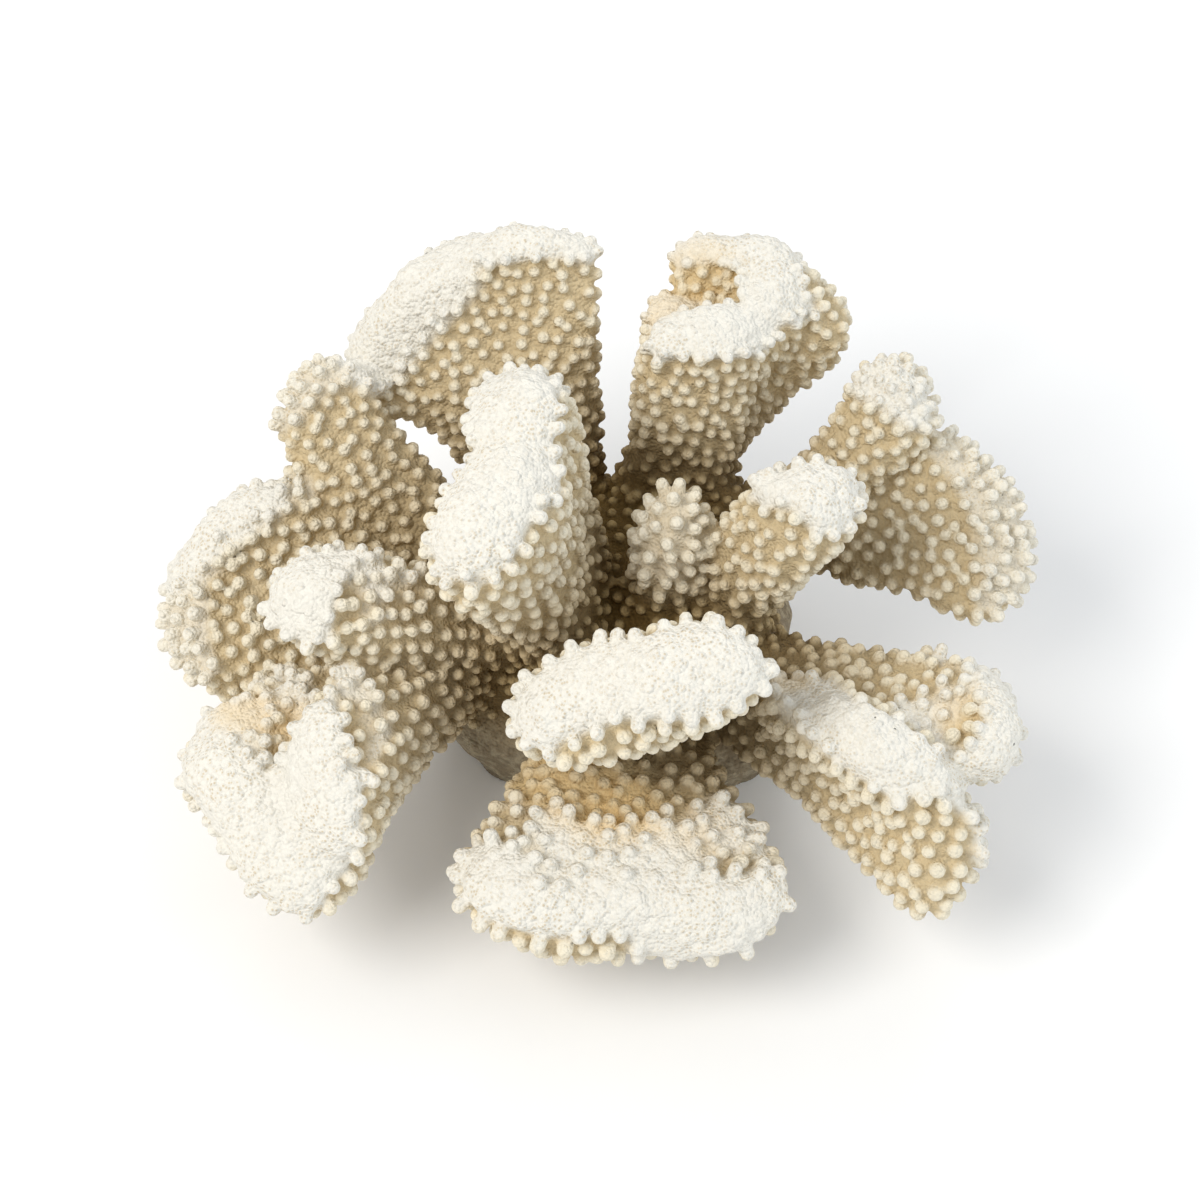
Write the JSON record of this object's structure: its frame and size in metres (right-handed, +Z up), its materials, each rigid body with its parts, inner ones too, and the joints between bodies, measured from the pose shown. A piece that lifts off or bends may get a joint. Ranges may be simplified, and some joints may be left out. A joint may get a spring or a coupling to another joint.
{
  "type": "branching coral",
  "caption": "Dried branching coral: thick flattened branches fork from a short flat-cut holdfast and end in blunt white ridges covered with small knobs.",
  "frame": {"origin": "centre of the flat cut under the holdfast, on which the coral stands", "axes": "+Z up out of the cut, +Y towards the two tall rear branches, +X towards the branches on the right"},
  "size_m": [0.1773, 0.1328, 0.1044],
  "materials": {
    "coral_skeleton": "matte, knobbly, white on the ridges and tan between the knobs",
    "old_holdfast": "matte, worn smooth, grey-brown"
  },
  "bodies": {
    "root": {"holdfast": "old_holdfast", "front_fan": "coral_skeleton", "front_crest": "coral_skeleton", "left_front_fan": "coral_skeleton", "left_fan": "coral_skeleton", "rear_left_fan": "coral_skeleton", "rear_right_cup": "coral_skeleton", "right_fan": "coral_skeleton", "right_front_fan": "coral_skeleton", "centre_left_crest": "coral_skeleton", "centre_right_club": "coral_skeleton", "left_club": "coral_skeleton", "centre_finger": "coral_skeleton"}
  },
  "joints": []
}
